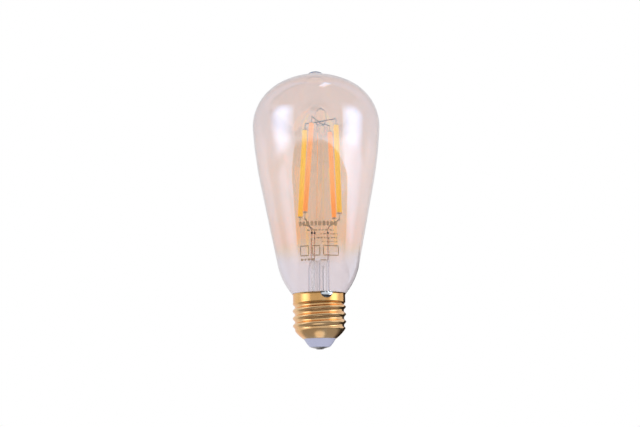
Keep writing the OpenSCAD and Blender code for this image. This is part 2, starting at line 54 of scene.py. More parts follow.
# Stem and mount
STEM_R, FLARE_Z = 5.3, 26.0
FLARE_R = NECK_R - STEM_R
NECK_END_Z = FLARE_Z - FLARE_R
PINCH_Z, PRESS_Z, PRESS_TOP, PRESS_W, PRESS_D, PRESS_EDGE = 38.0, 43.5, 54.7, 9.8, 3.8, 0.7
EXHAUST_X, EXHAUST_R, EXHAUST_WALL, EXHAUST_Z = -1.4, 1.8, 0.6, 20.6
ROD_R, BUTTON_R, BUTTON_Z, BUTTON_H, BRIDGE_DIP = 1.85, 3.15, 117.0, 10.0, 114.2
MOUNT_LEAN, MOUNT_X, LEAN_Z = 1.3, 0.35, 30.0
WIRE_R, JACKET_R, TURN_R, FIT = 0.25, 0.35, 0.8, 0.01
WARM_X, COOL_X, COMMON_X, WELD_Z, WELD_R = -4.0, -2.6, 3.9, 57.4, 0.55

# Filaments: (x, y) of the lower and the upper end, on the mount's axes
FILAMENTS = {
    "warm_left": ((-7.25, -8.1), (-4.5, -8.35)),
    "warm_right": ((7.2, 8.1), (4.9, 8.35)),
    "cool_left": ((-10.0, 5.9), (-8.05, 4.9)),
    "cool_right": ((9.5, -5.9), (7.85, -4.9)),
}
FILAMENT_Z, FILAMENT_L, FILAMENT_W, FILAMENT_D, CHIP_COUNT = 66.7, 45.0, 2.8, 2.3, 26
PIN_W, PIN_D, PIN_L, PIN_WELD_GAP, CUP_W, CUP_H = 0.9, 0.3, 4.0, 0.6, 3.0, 0.5

# Cap
PITCH, CREST_R, ROOT_R, CREST_POWER = 3.629, 13.1, 12.05, 1.35
THREAD_Z, THREAD_LOW, THREAD_TOP, THREAD_RUNOUT = 9.63, 9.0, 22.3, 1.2
COLLAR_R, LIP_R, LIP_Z, RIM_Z, SHELL_T = 12.87, 13.2, 26.3, 27.1, 0.3
SKIRT_Z, SKIRT_R, SKIRT_SLOPE, SKIRT_CURVE, SKIRT_H = 5.5, 8.6, 1.25, 0.075, 8.0
JOINT_AZ, JOINT_Z, JOINT_HALF_W, JOINT_DROP, JOINT_OUT = -73.0, 27.2, 3.2, 3.2, 1.1
NEUTRAL_R, SLOT_MID_Z = 11.28, 24.55    # where the neutral wire rises, and its slot in the collar


# ------------------------------------------------------------------ small maths
def direction(degrees):
    """Unit vector in the lathe's half plane; 0 points up the axis."""
    a = math.radians(degrees)
    return Vector((math.sin(a), math.cos(a)))


def angle_of(v):
    """The angle that direction() would need to give this vector's direction."""
    return math.degrees(math.atan2(v.x, v.y))


def arc(centre, radius, start, end, steps):
    """Points of an arc in the lathe's half plane, between two angles."""
    return [centre + radius * direction(start + (end - start) * i / steps) for i in range(steps + 1)]


def mix(a, b, t):
    return a + (b - a) * t


def ease(t):
    """Goes smoothly from 0 to 1 as t does."""
    t = max(0.0, min(1.0, t))
    return t * t * (3 - 2 * t)


def turn_angles(sides):
    """Equal steps round one turn, in radians."""
    return [2 * math.pi * k / sides for k in range(sides)]


def on_axis(outline):
    """The outline as (radius, height) pairs, with its first and last points put exactly on the axis."""
    pairs = [(p[0], p[1]) for p in outline]
    pairs[0] = (0.0, pairs[0][1])
    pairs[-1] = (0.0, pairs[-1][1])
    return pairs


# ------------------------------------------------------------------ mesh helpers
def mesh_object(name, points_mm, faces, sharp):
    """A mesh from points in millimetres, smooth shaded except across edges sharper than the angle."""
    mesh = bpy.data.meshes.new(name)
    mesh.from_pydata([Vector(p) * MM for p in points_mm], [], faces)
    mesh.validate()
    mesh.polygons.foreach_set("use_smooth", [True] * len(mesh.polygons))
    mesh.set_sharp_from_angle(angle=math.radians(sharp))
    obj = bpy.data.objects.new(name, mesh)
    bpy.context.scene.collection.objects.link(obj)
    return obj


class Build:
    """Collects the points and faces of several closed shapes for one mesh."""

    def __init__(self):
        self.points = []
        self.faces = []

    def rings(self, rings, closed=False, poles=None):
        """Skins equal rings. Closed joins last to first; poles are end points; else the ends are flat."""
        start, sides = len(self.points), len(rings[0])
        for ring in rings:
            self.points.extend(ring)
        for i in range(len(rings) if closed else len(rings) - 1):
            a, b = start + i * sides, start + (i + 1) % len(rings) * sides
            for k in range(sides):
                n = (k + 1) % sides
                self.faces.append((a + k, a + n, b + n, b + k))
        if closed:
            return
        last = len(self.points) - sides
        if poles is None:
            self.faces.append(tuple(start + k for k in reversed(range(sides))))
            self.faces.append(tuple(last + k for k in range(sides)))
            return
        self.points.extend(poles)
        low, high = len(self.points) - 2, len(self.points) - 1
        for k in range(sides):
            n = (k + 1) % sides
            self.faces.append((low, start + n, start + k))
            self.faces.append((high, last + k, last + n))

    def object(self, name, sharp):
        return mesh_object(name, self.points, self.faces, sharp)


def lathe(name, outline, sides, sharp):
    """Turns an outline of (radius, height) about Z. It closes at poles on the axis, or else on itself."""
    poles = outline[0][0] < 1e-6 and outline[-1][0] < 1e-6
    rings = []
    for r, z in outline[1:-1] if poles else outline:
        rings.append([(r * math.cos(a), r * math.sin(a), z) for a in turn_angles(sides)])
    build = Build()
    if poles:
        build.rings(rings, poles=[(0, 0, outline[0][1]), (0, 0, outline[-1][1])])
    else:
        build.rings(rings, closed=True)
    return outward(build.object(name, sharp))


def outward(obj):
    """Turns a closed mesh's faces so that they look outwards."""
    mesh = obj.data
    volume = 0.0
    for face in mesh.polygons:
        corners = [mesh.vertices[i].co for i in face.vertices]
        for b, c in zip(corners[1:], corners[2:]):
            volume += corners[0].dot(b.cross(c))
    if volume < 0:
        mesh.flip_normals()
    return obj


def round_corner(before, corner, after, radius, steps):
    """Points of a bend in place of a sharp corner. It leaves room on both sides for the next one."""
    r = min(radius, (before - corner).length / 2.2, (after - corner).length / 2.2)
    start = corner + r * (before - corner).normalized()
    end = corner + r * (after - corner).normalized()
    return [(1 - t) ** 2 * start + 2 * t * (1 - t) * corner + t * t * end
            for t in (k / steps for k in range(steps + 1))]


def rounded(route, radius):
    """A wire's route with its corners rounded."""
    route = [Vector(p) for p in route]
    path = [route[0]]
    for before, corner, after in zip(route, route[1:], route[2:]):
        path += round_corner(before, corner, after, radius, 6)
    return path + [route[-1]]


def softened(corners, radius):
    """A closed outline in (radius, height) with its corners rounded."""
    corners = [Vector(p) for p in corners]
    points = []
    for before, corner, after in zip(corners[-1:] + corners, corners, corners[1:] + corners[:1]):
        points += round_corner(before, corner, after, radius, 5)
    return [(p.x, p.y) for p in points]


def wire_rings(route, radius, sides=14):
    """Rings of a drawn wire with softly broken ends, swept along the route."""
    path = rounded(route, TURN_R)
    last = len(path) - 1
    aside = Vector((0.3, 0.9, 0.1))    # no wire runs this way
    rings = []
    for i, p in enumerate(path):
        head = (path[min(i + 1, last)] - path[max(i - 1, 0)]).normalized()
        u = head.cross(aside).normalized()
        v = head.cross(u)
        cuts = [(0.0, 1.0)]
        if i == 0:
            cuts = [(0.0, 0.7), (radius * 0.3, 1.0)]
        if i == last:
            cuts = [(-radius * 0.3, 1.0), (0.0, 0.7)]
        around = [math.cos(a) * u + math.sin(a) * v for a in turn_angles(sides)]
        for shift, scale in cuts:
            rings.append([p + head * shift + radius * scale * w for w in around])
    return rings


def ball_rings(centre, radii, sides=20, rows=12):
    """Rings and poles of an ellipsoid."""
    centre = Vector(centre)
    rings = []
    for i in range(1, rows):
        t = math.pi * i / rows
        wide, deep, up = radii[0] * math.sin(t), radii[1] * math.sin(t), -radii[2] * math.cos(t)
        ring = [(wide * math.cos(a), deep * math.sin(a), up) for a in turn_angles(sides)]
        rings.append([centre + Vector(offset) for offset in ring])
    return rings, [centre - Vector((0, 0, radii[2])), centre + Vector((0, 0, radii[2]))]


def leaning(point):
    """A point given on the mount's own axes, moved by the mount's lean."""
    turn = Matrix.Rotation(math.radians(MOUNT_LEAN), 3, "Y")
    return turn @ (Vector(point) - Vector((0, 0, LEAN_Z))) + Vector((MOUNT_X, 0, LEAN_Z))


def lean(obj):
    """Moves a whole piece by the mount's lean."""
    for vertex in obj.data.vertices:
        vertex.co = leaning(vertex.co / MM) * MM
    obj.data.update()
    return obj


def place(obj, slot, *nodes, material=None):
    """Gives a piece its slot's material and ties it to the frame, in place of the CAD nodes named."""
    obj.data.materials.clear()
    obj.data.materials.append(material or MATERIALS[slot])
    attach(obj, "root")
    if nodes:
        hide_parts(*nodes)
    return obj


# ------------------------------------------------------------------ node helpers
class Graph:
    """Short ways to build a node tree."""

    def __init__(self, tree):
        self.tree = tree

    def link(self, value, socket):
        if isinstance(value, bpy.types.NodeSocket):
            self.tree.links.new(value, socket)
        else:
            socket.default_value = value

    def node(self, kind, settings=None, **inputs):
        node = self.tree.nodes.new(kind)
        for key, value in (settings or {}).items():
            setattr(node, key, value)
        for key, value in inputs.items():
            self.link(value, node.inputs[key.replace("_", " ")])
        return node

    def maths(self, operation, *values):
        node = self.node("ShaderNodeMath", {"operation": operation})
        for value, socket in zip(values, node.inputs):
            self.link(value, socket)
        return node.outputs[0]

    def times(self, a, b):
        return self.maths("MULTIPLY", a, b)

    def minus(self, a, b):
        return self.maths("SUBTRACT", a, b)

    def split(self, vector):
        return self.node("ShaderNodeSeparateXYZ", Vector=vector).outputs

    def ramp(self, value, low, high, a=0.0, b=1.0):
        """Goes smoothly from a to b as the value goes from low to high."""
        node = self.node("ShaderNodeMapRange", {"interpolation_type": "SMOOTHSTEP"}, Value=value)
        for key, number in (("From Min", low), ("From Max", high), ("To Min", a), ("To Max", b)):
            self.link(number, node.inputs[key])
        return node.outputs[0]

    def blend(self, factor, a, b):
        """Goes from colour a to colour b as the factor rises from 0 to 1."""
        node = self.node("ShaderNodeMix", {"data_type": "RGBA"})
        for index, value in ((0, factor), (6, a), (7, b)):
            self.link(value, node.inputs[index])
        return node.outputs[2]

    def between(self, factor, a, b):
        """Goes from number a to number b as the factor rises from 0 to 1."""
        node = self.node("ShaderNodeMix", {"data_type": "FLOAT"})
        for index, value in ((0, factor), (2, a), (3, b)):
            self.link(value, node.inputs[index])
        return node.outputs[0]

    def position(self):
        """Position in the part's frame, in metres."""
        return self.node("ShaderNodeTexCoord").outputs["Object"]

    def noise(self, scale, detail=3.0, stretch=(1, 1, 1), roughness=0.5):
        mapped = self.node("ShaderNodeMapping", Vector=self.position(), Scale=stretch)
        node = self.node("ShaderNodeTexNoise", Vector=mapped.outputs[0], Scale=scale, Detail=detail,
                         Roughness=roughness)
        return node.outputs[0]


class Surface(Graph):
    """A new material around one Principled shader. Keyword values are set on its own sockets."""

    def __init__(self, name, **values):
        self.material = bpy.data.materials.new(name)
        self.material.use_nodes = True
        super().__init__(self.material.node_tree)
        self.shader = self.tree.nodes["Principled BSDF"]
        self.set(**values)

    def set(self, **values):
        for key, value in values.items():
            self.link(value, self.shader.inputs[key.replace("_", " ")])

    def bump(self, height, depth_mm, strength=1.0):
        node = self.node("ShaderNodeBump", Height=height, Distance=depth_mm * MM, Strength=strength)
        self.set(Normal=node.outputs[0])


def rgb(r, g, b):
    return (r, g, b, 1.0)


def finish_of(name, colour, roughness, metallic=0.0, grain=400.0, depth=0.02, tone=0.12, spread=0.08,
              **values):
    """A moulded, drawn or cast surface: faint colour drift, uneven gloss and a fine grain."""
    s = Surface(name, Metallic=metallic, **values)
    drift = s.noise(grain * 0.35, 4)
    dark = rgb(*(c * (1 - tone) for c in colour))
    s.set(Base_Color=s.blend(s.ramp(drift, 0.35, 0.65), dark, rgb(*colour)))
    s.set(Roughness=s.ramp(drift, 0.3, 0.7, roughness - spread / 2, roughness + spread / 2))
    s.bump(s.noise(grain, 3), depth)
    return s.material


def metal_of(name, colour, roughness, grain=500.0, depth=0.02):
    """Bare metal, with more drift in its colour and gloss."""
    return finish_of(name, colour, roughness, 1.0, grain, depth, tone=0.18, spread=0.12)


def board_mask(name, mask, track):
    """A circuit board's varnish, with the copper tracks under it paler and a little raised."""
    s = Surface(name)
    squares = s.node("ShaderNodeTexVoronoi", {"distance": "CHEBYCHEV"}, Vector=s.position(), Scale=260.0)
    tracks = s.ramp(s.maths("PINGPONG", squares.outputs["Distance"], 0.12), 0.055, 0.07)
    drift = s.noise(300, 3)
    plain = s.blend(drift, rgb(*(c * 0.7 for c in mask)), rgb(*mask))
    s.set(Base_Color=s.blend(tracks, plain, rgb(*track)))
    s.set(Roughness=s.ramp(drift, 0.3, 0.7, 0.28, 0.42))
    s.bump(tracks, 0.03)
    return s.material


def solder_metal():
    """Bright tin, rippled as it froze. Below the side joint's foot it is painted dark as painted shade, so
    the tip bead is dark all over.
    """
    s = Surface("solder", Metallic=1.0)
    grain = s.noise(260, 3)
    z = s.split(s.position())["Z"]
    tin = s.blend(grain, rgb(0.93, 0.87, 0.83), rgb(1.0, 0.96, 0.92))
    # Painted shade: the tin is painted dark below the side joint's foot; the tip bead lies wholly below it.
    foot = s.ramp(z, (JOINT_Z - 2.1) * MM, (JOINT_Z - 1.3) * MM)
    s.set(Base_Color=s.blend(foot, rgb(0.20, 0.18, 0.17), tin))
    s.set(Roughness=s.ramp(grain, 0.3, 0.7, 0.10, 0.20))
    s.bump(grain, 0.06)
    return s.material


# ------------------------------------------------------------------ glass materials
# The film is this thick in nanometres. It fades out between two heights, and its edge wanders a little.
FILM_NM, FILM_IOR, GLASS_IOR = 161.0, 2.1, 1.5
FILM_FROM_Z, FILM_FULL_Z, FILM_WANDER = 42.5, 53.5, 1.5


def lustre_glass():
    """Glass with a vapour film that throws back blue and lets amber through. Its foot is the deepest."""
    s = Surface("amber_glass", Transmission_Weight=1.0, Roughness=0.0, IOR=GLASS_IOR,
                Thin_Film_Thickness=FILM_NM)
    z = s.split(s.position())["Z"]
    cloud = s.noise(70, 3)
    wander = s.ramp(cloud, 0, 1, -FILM_WANDER * MM, FILM_WANDER * MM)
    coated = s.ramp(s.maths("ADD", z, wander), FILM_FROM_Z * MM, FILM_FULL_Z * MM)
    belly = s.blend(s.ramp(cloud, 0.35, 0.65), rgb(0.95, 0.805, 0.695), rgb(0.965, 0.82, 0.715))
    amber = s.blend(s.ramp(z, 56 * MM, 72 * MM), rgb(0.965, 0.77, 0.62), belly)
    amber = s.blend(s.ramp(z, 90 * MM, 120 * MM), amber, rgb(0.912, 0.79, 0.705))
    s.set(Base_Color=s.blend(coated, rgb(0.875, 0.82, 0.84), amber))
    s.set(Thin_Film_IOR=s.between(coated, GLASS_IOR, FILM_IOR))
    return s.material


def clear_glass(name, tint, ior, lines):
    """Lamp-worked glass: clear, with faint draw lines of the depth given, in millimetres."""
    s = Surface(name, Transmission_Weight=1.0, Roughness=0.0, IOR=ior)
    s.set(Base_Color=s.blend(s.noise(90, 2), rgb(*tint), rgb(1, 1, 1)))
    s.bump(s.noise(120, 2, (1, 1, 0.06)), lines, 0.4)
    return s.material


def ink():
    """Screen-printed ink, thin enough to let some light through."""
    return finish_of("print_ink", (0.60, 0.39, 0.23), 0.6, grain=900, depth=0.01, tone=0.25, Alpha=0.6)


# ------------------------------------------------------------------ glass envelope
def glass_outline(inset):
    """Tip to neck: a chain of tangent arcs, inset from the outer surface."""
    dome_c = Vector((0, LAMP_H - TIP_H - DOME_R))
    crown_c = Vector((0, LAMP_H - TIP_CROWN_R))
    edge_c = crown_c + (TIP_CROWN_R - TIP_EDGE_R) * direction(TIP_CROWN_A)
    rise = edge_c - dome_c
    reach = rise.length
    big, small = DOME_R + TIP_FILLET, TIP_EDGE_R + TIP_FILLET
    up = (reach + (big ** 2 - small ** 2) / reach) / 2
    out = math.sqrt(big ** 2 - up ** 2)
    fillet_c = dome_c + (up * rise + out * Vector((rise.y, -rise.x))) / reach
    tip_a, dome_a = angle_of(fillet_c - edge_c), angle_of(fillet_c - dome_c)

    shoulder_c = dome_c + (DOME_R - SHOULDER_R) * direction(SHOULDER_A)
    flank_c = shoulder_c - (FLANK_R - SHOULDER_R) * direction(BELLY_A)
    down = Vector((math.cos(math.radians(WAIST_A)), -math.sin(math.radians(WAIST_A))))
    bowl_c = flank_c + (FLANK_R - BOWL_R) * direction(WAIST_A) + FLANK_L * down
    neck_x = NECK_R + NECK_FILLET
    neck_c = Vector((neck_x, bowl_c.y - math.sqrt((BOWL_R + NECK_FILLET) ** 2 - (neck_x - bowl_c.x) ** 2)))
    neck_a = angle_of(neck_c - bowl_c)

    chain = arc(crown_c, TIP_CROWN_R - inset, 0, TIP_CROWN_A, 8)
    chain += arc(edge_c, TIP_EDGE_R - inset, TIP_CROWN_A, tip_a, 10)[1:]
    chain += arc(fillet_c, TIP_FILLET + inset, tip_a + 180, dome_a + 180, 10)[1:]
    chain += arc(dome_c, DOME_R - inset, dome_a, SHOULDER_A, 16)[1:]
    chain += arc(shoulder_c, SHOULDER_R - inset, SHOULDER_A, BELLY_A, 32)[1:]
    chain += arc(flank_c, FLANK_R - inset, BELLY_A, WAIST_A, 14)[1:]
    last, start = chain[-1], bowl_c + (BOWL_R - inset) * direction(WAIST_A)
    chain += [last.lerp(start, i / 16) for i in range(1, 16)]
    chain += arc(bowl_c, BOWL_R - inset, WAIST_A, neck_a, 28)
    chain += arc(neck_c, NECK_FILLET + inset, neck_a + 180, 270, 8)[1:]
    return chain


def build_glass():
    """The envelope is one closed shell: outside down, round the lower edge and inside up."""
    edge = [Vector((NECK_R, NECK_END_Z)), Vector((NECK_R - GLASS_T, NECK_END_Z))]
    outline = glass_outline(0.0) + edge + glass_outline(GLASS_T)[::-1]
    glass = lathe("glass_bulb", on_axis(outline), 192, 60)
    return place(glass, "amber_glass", "glass_envelope")


def glass_radius(z):
    """Outer radius of the bulb below its widest point."""
    for a, b in zip(OUTSIDE, OUTSIDE[1:]):
        if b.y <= z <= a.y:
            return mix(a.x, b.x, (a.y - z) / max(a.y - b.y, 1e-6))
    return NECK_R


# ------------------------------------------------------------------ printed block, made of blank shapes
PRINT_LIFT, PRINT_T, PRINT_GAP, PRINT_STROKE = 0.02, 0.03, 0.45, 0.55
PRINT_LINES = [
    # left end, right end, middle up, height, the dashes' lengths in turn
    (-9.3, 10.1, 58.2, 2.2, (1.5, 1.2, 1.7)),
    (-5.2, 7.6, 55.1, 0.6, (1.3, 0.8, 1.9)), (1.1, 9.7, 53.3, 0.5, (0.7, 1.6, 1.1)),
    (-0.9, 9.5, 51.5, 0.6, (1.7, 1.0, 0.8)), (1.8, 9.8, 49.7, 0.4, (0.8, 0.5, 0.7)),
    (-8.6, -1.2, 41.5, 1.0, (1.4, 1.0, 1.6)), (0.7, 4.1, 41.2, 0.5, (3.4,)),
]
PRINT_FRAMES = [
    # middle across, middle up, width, height
    (-6.6, 45.6, 4.6, 5.0), (-1.0, 45.6, 4.0, 5.0), (6.2, 45.6, 8.0, 5.0),
]


def on_glass(across, z, lift):
    """A point on the front of the glass, lifted off it a little. Across is measured round the glass."""
    r = glass_radius(z) + lift
    a = across / r
    return (r * math.sin(a), -r * math.cos(a), z)


def patch(build, across, up, width, height, steps=10):
    """A thin closed patch of ink that follows the glass, with rounded corners."""
    corner = min(width, height) * 0.3
    rings = []
    for i in range(steps + 1):
        x = across + width * (i / steps - 0.5)
        side = max(0.0, corner - (width / 2 - abs(x - across)))
        half = height / 2 - corner + math.sqrt(max(corner ** 2 - side ** 2, 0.0))
        rows = [up - half, up - half / 3, up + half / 3, up + half]
        ring = [on_glass(x, z, PRINT_LIFT) for z in rows]
        rings.append(ring + [on_glass(x, z, PRINT_LIFT + PRINT_T) for z in reversed(rows)])
    build.rings(rings)


def build_print():
    """Stands for the printing on the glass: dashes and empty frames that say nothing."""
    build = Build()
    for left, right, up, height, dashes in PRINT_LINES:
        count = 0
        while right - left > 0.3:
            width = min(dashes[count % len(dashes)], right - left)
            patch(build, left + width / 2, up, width, height, 6)
            left += width + PRINT_GAP
            count += 1
    stroke = PRINT_STROKE
    for across, up, width, height in PRINT_FRAMES:
        for side in (-1, 1):
            patch(build, across, up + side * (height - stroke) / 2, width, stroke)
            patch(build, across + side * (width - stroke) / 2, up, stroke, height - 2.2 * stroke, 4)
    return place(outward(build.object("glass_print", 50)), "print_ink")


# ------------------------------------------------------------------ stem and rod
def stem_point(z, half_w, half_d, pinch, degrees):
    """A point round the stem. The pinched part is squarer, and leans with the mount."""
    a = math.radians(degrees)
    power = mix(1, 0.7, pinch)
    shift = pinch * (MOUNT_X + (z - LEAN_Z) * math.tan(math.radians(MOUNT_LEAN)))
    wide = math.copysign(abs(math.cos(a)) ** power, math.cos(a))
    deep = math.copysign(abs(math.sin(a)) ** power, math.sin(a))
    return (half_w * wide + shift, half_d * deep, z)


def stem_row(z, inset):
    """Height, half width, half depth and pinch of the stem: round below, flat in the press."""
    q = ease((z - PINCH_Z) / (PRESS_Z + 1 - PINCH_Z))
    return (z, mix(STEM_R, PRESS_W / 2, q) - inset, mix(STEM_R, PRESS_D / 2, q) - inset, q)


def build_stem():
    """A tube, pinched flat round the wires at its top and flared to the neck at its foot."""
    flare_c = Vector((NECK_R, FLARE_Z))
    # The rows go over the press's edge, down the outside, round the flare and back up the inside
    rows = []
    for i in range(6):
        a = math.radians(90 - 18 * i)
        rows.append(stem_row(PRESS_TOP - PRESS_EDGE * (1 - math.sin(a)), PRESS_EDGE * (1 - math.cos(a))))
    rows += [stem_row(mix(PRESS_TOP - 2, FLARE_Z + 0.7, i / 34), 0) for i in range(35)]
    rows += [(p.y, p.x, p.x, 0) for p in arc(flare_c, FLARE_R, 270, 180, 16)]
    rows += [(p.y, p.x, p.x, 0) for p in arc(flare_c, FLARE_R + GLASS_T, 180, 270, 16)]
    rows += [stem_row(mix(FLARE_Z + 0.9, PRESS_Z, i / 22), GLASS_T) for i in range(23)]
    build = Build()
    build.rings([[stem_point(*row, 360 * k / 96) for k in range(96)] for row in rows])
    return place(outward(build.object("stem_glass", 60)), "clear_glass", "stem_tube")


def build_exhaust():
    """A narrow tube inside the stem, open into the press and sealed round at its foot."""
    top, centre = PRESS_Z - 0.6, Vector((0, EXHAUST_Z + EXHAUST_R))
    bore = EXHAUST_R - EXHAUST_WALL
    outline = arc(centre, EXHAUST_R, 180, 90, 12) + [Vector((EXHAUST_R, top)), Vector((bore, top))]
    outline += arc(centre, bore, 90, 180, 8)
    tube = lathe("exhaust_tube_glass", on_axis(outline), 48, 50)
    for vertex in tube.data.vertices:
        vertex.co.x += EXHAUST_X * MM
    return place(lean(tube), "clear_glass", "exhaust_tube")


def build_rod():
    """A rod with a drawn glass button at its top."""
    half = BUTTON_H / 2
    outline = [Vector((0, PRESS_TOP))]
    outline += [Vector((ROD_R, mix(PRESS_TOP, BUTTON_Z - half, i / 24))) for i in range(24)]
    for i in range(33):
        a = math.radians(-90 + 180 * i / 32)
        swell = BUTTON_R * math.cos(a)
        neck = ROD_R + max(swell - ROD_R, 0) if a < 0 else swell
        outline.append(Vector((neck, BUTTON_Z + half * math.sin(a))))
    rod = lathe("rod_glass", on_axis(outline), 64, 50)
    material = clear_glass("rod_clear_glass", (0.97, 0.95, 0.93), GLASS_IOR, lines=0.01)
    return place(lean(rod), "clear_glass", "glass_rod", material=material)


# ------------------------------------------------------------------ filaments
def end_of(name, top):
    """The upper or the lower end of a filament's coated strip."""
    x, y = FILAMENTS[name][1 if top else 0]
    return Vector((x, y, FILAMENT_Z + (FILAMENT_L if top else 0)))


def run_of(name):
    """Unit vector up along a filament."""
    return (end_of(name, True) - end_of(name, False)).normalized()


def weld_of(name, top):
    """Where a support wire meets the pin, just inside it."""
    end = end_of(name, top)
    along = (PIN_L - PIN_WELD_GAP) * (1 if top else -1)
    inward = -Vector((end.x, end.y, 0)).normalized() * (PIN_D / 2 + WIRE_R + FIT)
    return end + run_of(name) * along + inward


def section(width, depth, corner):
    """A rounded rectangle, depth along X and width along Y."""
    points, steps = [], 6
    for quarter, (sx, sy) in enumerate(((1, 1), (-1, 1), (-1, -1), (1, -1))):
        for i in range(steps + 1):
            a = math.radians(90 * (quarter + i / steps))
            points.append((sx * (depth / 2 - corner) + corner * math.cos(a),
                           sy * (width / 2 - corner) + corner * math.sin(a)))
    return points


def bar_rings(name, start, end, width, depth, corner, edge, wander=0.0):
    """Rings of a bar on a filament's own axis, with rounded ends. Wander lets its sides swell a little."""
    run, low = run_of(name), end_of(name, False)
    turn = (Matrix.Rotation(math.atan2(run.y, run.x), 3, "Z")
            @ Matrix.Rotation(math.acos(run.z), 3, "Y"))
    quarter = [math.radians(22.5 * i) for i in range(5)]
    rounding = [(edge * (1 - math.cos(a)), edge * (1 - math.sin(a))) for a in quarter]
    rows = [(start + along, inset) for along, inset in rounding]
    long_way = end - start - 2 * edge
    count = max(2, round(long_way / 0.9))
    for i in range(1, count):
        z = start + edge + long_way * i / count
        rows.append((z, wander * math.sin(2.1 * z) * math.sin(0.53 * z + 1)))
    rows += [(end - along, inset) for along, inset in reversed(rounding)]
    rings = []
    for z, inset in rows:
        outline = section(width - 2 * inset, depth - 2 * inset, max(corner - inset, 0.02))
        rings.append([low + turn @ Vector((x, y, z)) for x, y in outline])
    return rings


def build_filament(name, slot):
    """The coated strip, then the metal cups and flat pins at both ends."""
    strip = Build()
    strip.rings(bar_rings(name, 0.0, FILAMENT_L, FILAMENT_W, FILAMENT_D, FILAMENT_D / 2 - 0.03, 0.3, 0.05))
    place(lean(outward(strip.object(name + "_phosphor", 50))), slot, name + "_coating")

    ends = Build()
    for a, b in ((-PIN_L, 0.0), (FILAMENT_L, FILAMENT_L + PIN_L)):
        ends.rings(bar_rings(name, a, b, PIN_W, PIN_D, 0.08, 0.06))
    for a, b in ((-CUP_H, 0.0), (FILAMENT_L, FILAMENT_L + CUP_H)):
        ends.rings(bar_rings(name, a, b, CUP_W, FILAMENT_D, FILAMENT_D / 2 - 0.1, 0.12))
    place(lean(outward(ends.object(name + "_end_pins", 40))), "pin_metal", name + "_pins")


def phosphor(name, colour, deep, foot, glow):
    """Silicone with phosphor in it, given a steady painted glow that stands in for light falling on it. The
    chips show as a faint rhythm.
    """
    s = Surface(name, Roughness=0.38, IOR=1.42, Subsurface_Weight=0.35, Subsurface_Radius=(1.0, 0.55, 0.2),
                Subsurface_Scale=0.0012, Coat_Weight=0.25, Coat_Roughness=0.2, Emission_Strength=glow)
    grain = s.ramp(s.noise(300, 4, (1, 1, 0.25)), 0.3, 0.7)
    z = s.split(s.position())["Z"]
    waves = 2 * math.pi * CHIP_COUNT / (FILAMENT_L * MM)
    rhythm = s.ramp(s.maths("SINE", s.times(z, waves)), -1, 1, 0.0, 0.35)
    tone = s.blend(s.maths("ADD", s.times(grain, 0.65), rhythm), rgb(*deep), rgb(*colour))
    tone = s.blend(s.ramp(z, 66 * MM, 98 * MM), rgb(*foot), tone)
    # Painted glow: the phosphor emits its own tone, standing in for light falling on it.
    s.set(Base_Color=tone, Emission_Color=tone)
    s.bump(s.noise(250, 3, (1, 1, 0.4)), 0.08)
    return s.material


# ------------------------------------------------------------------ wires
def at_joint(r, z):
    """A point in the upright plane through the side solder."""
    a = math.radians(JOINT_AZ)
    return (r * math.cos(a), r * math.sin(a), z)


def wire_routes():
    """The leads and supports, point by point. Leaning ones are given on the mount's axes."""
    warm, cool = weld_of("warm_left", False), weld_of("cool_left", False)
    tap = (weld_of("warm_right", False) + weld_of("cool_right", False)) / 2
    leaning_routes = {
        "common_lead": [(3.3, -0.1, 17), (3.3, 0, 21), (3.3, 0.6, 25), (3.3, 0.6, 40), (COMMON_X, 0, 44.5),
                        (COMMON_X, 0, 59.5), (4.9, 0.2, 61.2), tap - Vector((2 * WIRE_R + FIT, 0, 0))],
        "warm_lead": [(-6.4, -0.1, 17), (-6.4, -0.1, 19.2), (-3.65, -0.6, 25), (-3.65, -0.6, 40),
                      (WARM_X, 0, 44.5), (WARM_X, 0, 58.5), (-5.4, -2.4, 61), warm],
        "cool_lead": [(-2.8, -0.1, 17), (-2.8, -1.2, 20.5), (-2.9, -2.4, 25), (-2.9, -2.4, 39.5),
                      (COOL_X, 0, 44.5), (COOL_X, 0, 58.5), (-4.6, 2.2, 60.6), cool],
        "right_cross_wire": [weld_of("warm_right", False), weld_of("cool_right", False)],
        "cool_bridge_wire": [weld_of("cool_left", True), weld_of("cool_right", True)],
        "warm_bridge_wire": [weld_of("warm_left", True), (0, 0, BRIDGE_DIP), weld_of("warm_right", True)],
    }
    straight_routes = {
        "antenna_wire": [(2.4, 5.6, 18.5), (2.4, 5.2, 19.8), (2.3, 2.6, 24.5), (2.3, 2.6, 41)],
        "live_wire": [(-8.3, 3.8, 8.4), (-6, 2.6, 7.7), (-1, 0.4, 7.5), (0, 0, 6.4), (0, 0, 1.5)],
        "neutral_wire": [(7.6, 0.6, 16.8), (7.4, -1.2, 17.4), (5.4, -7.4, 19.3), at_joint(NEUTRAL_R, 19.3),
                         at_joint(NEUTRAL_R, SLOT_MID_Z), at_joint(COLLAR_R + 0.06, SLOT_MID_Z)],
    }
    return leaning_routes, straight_routes


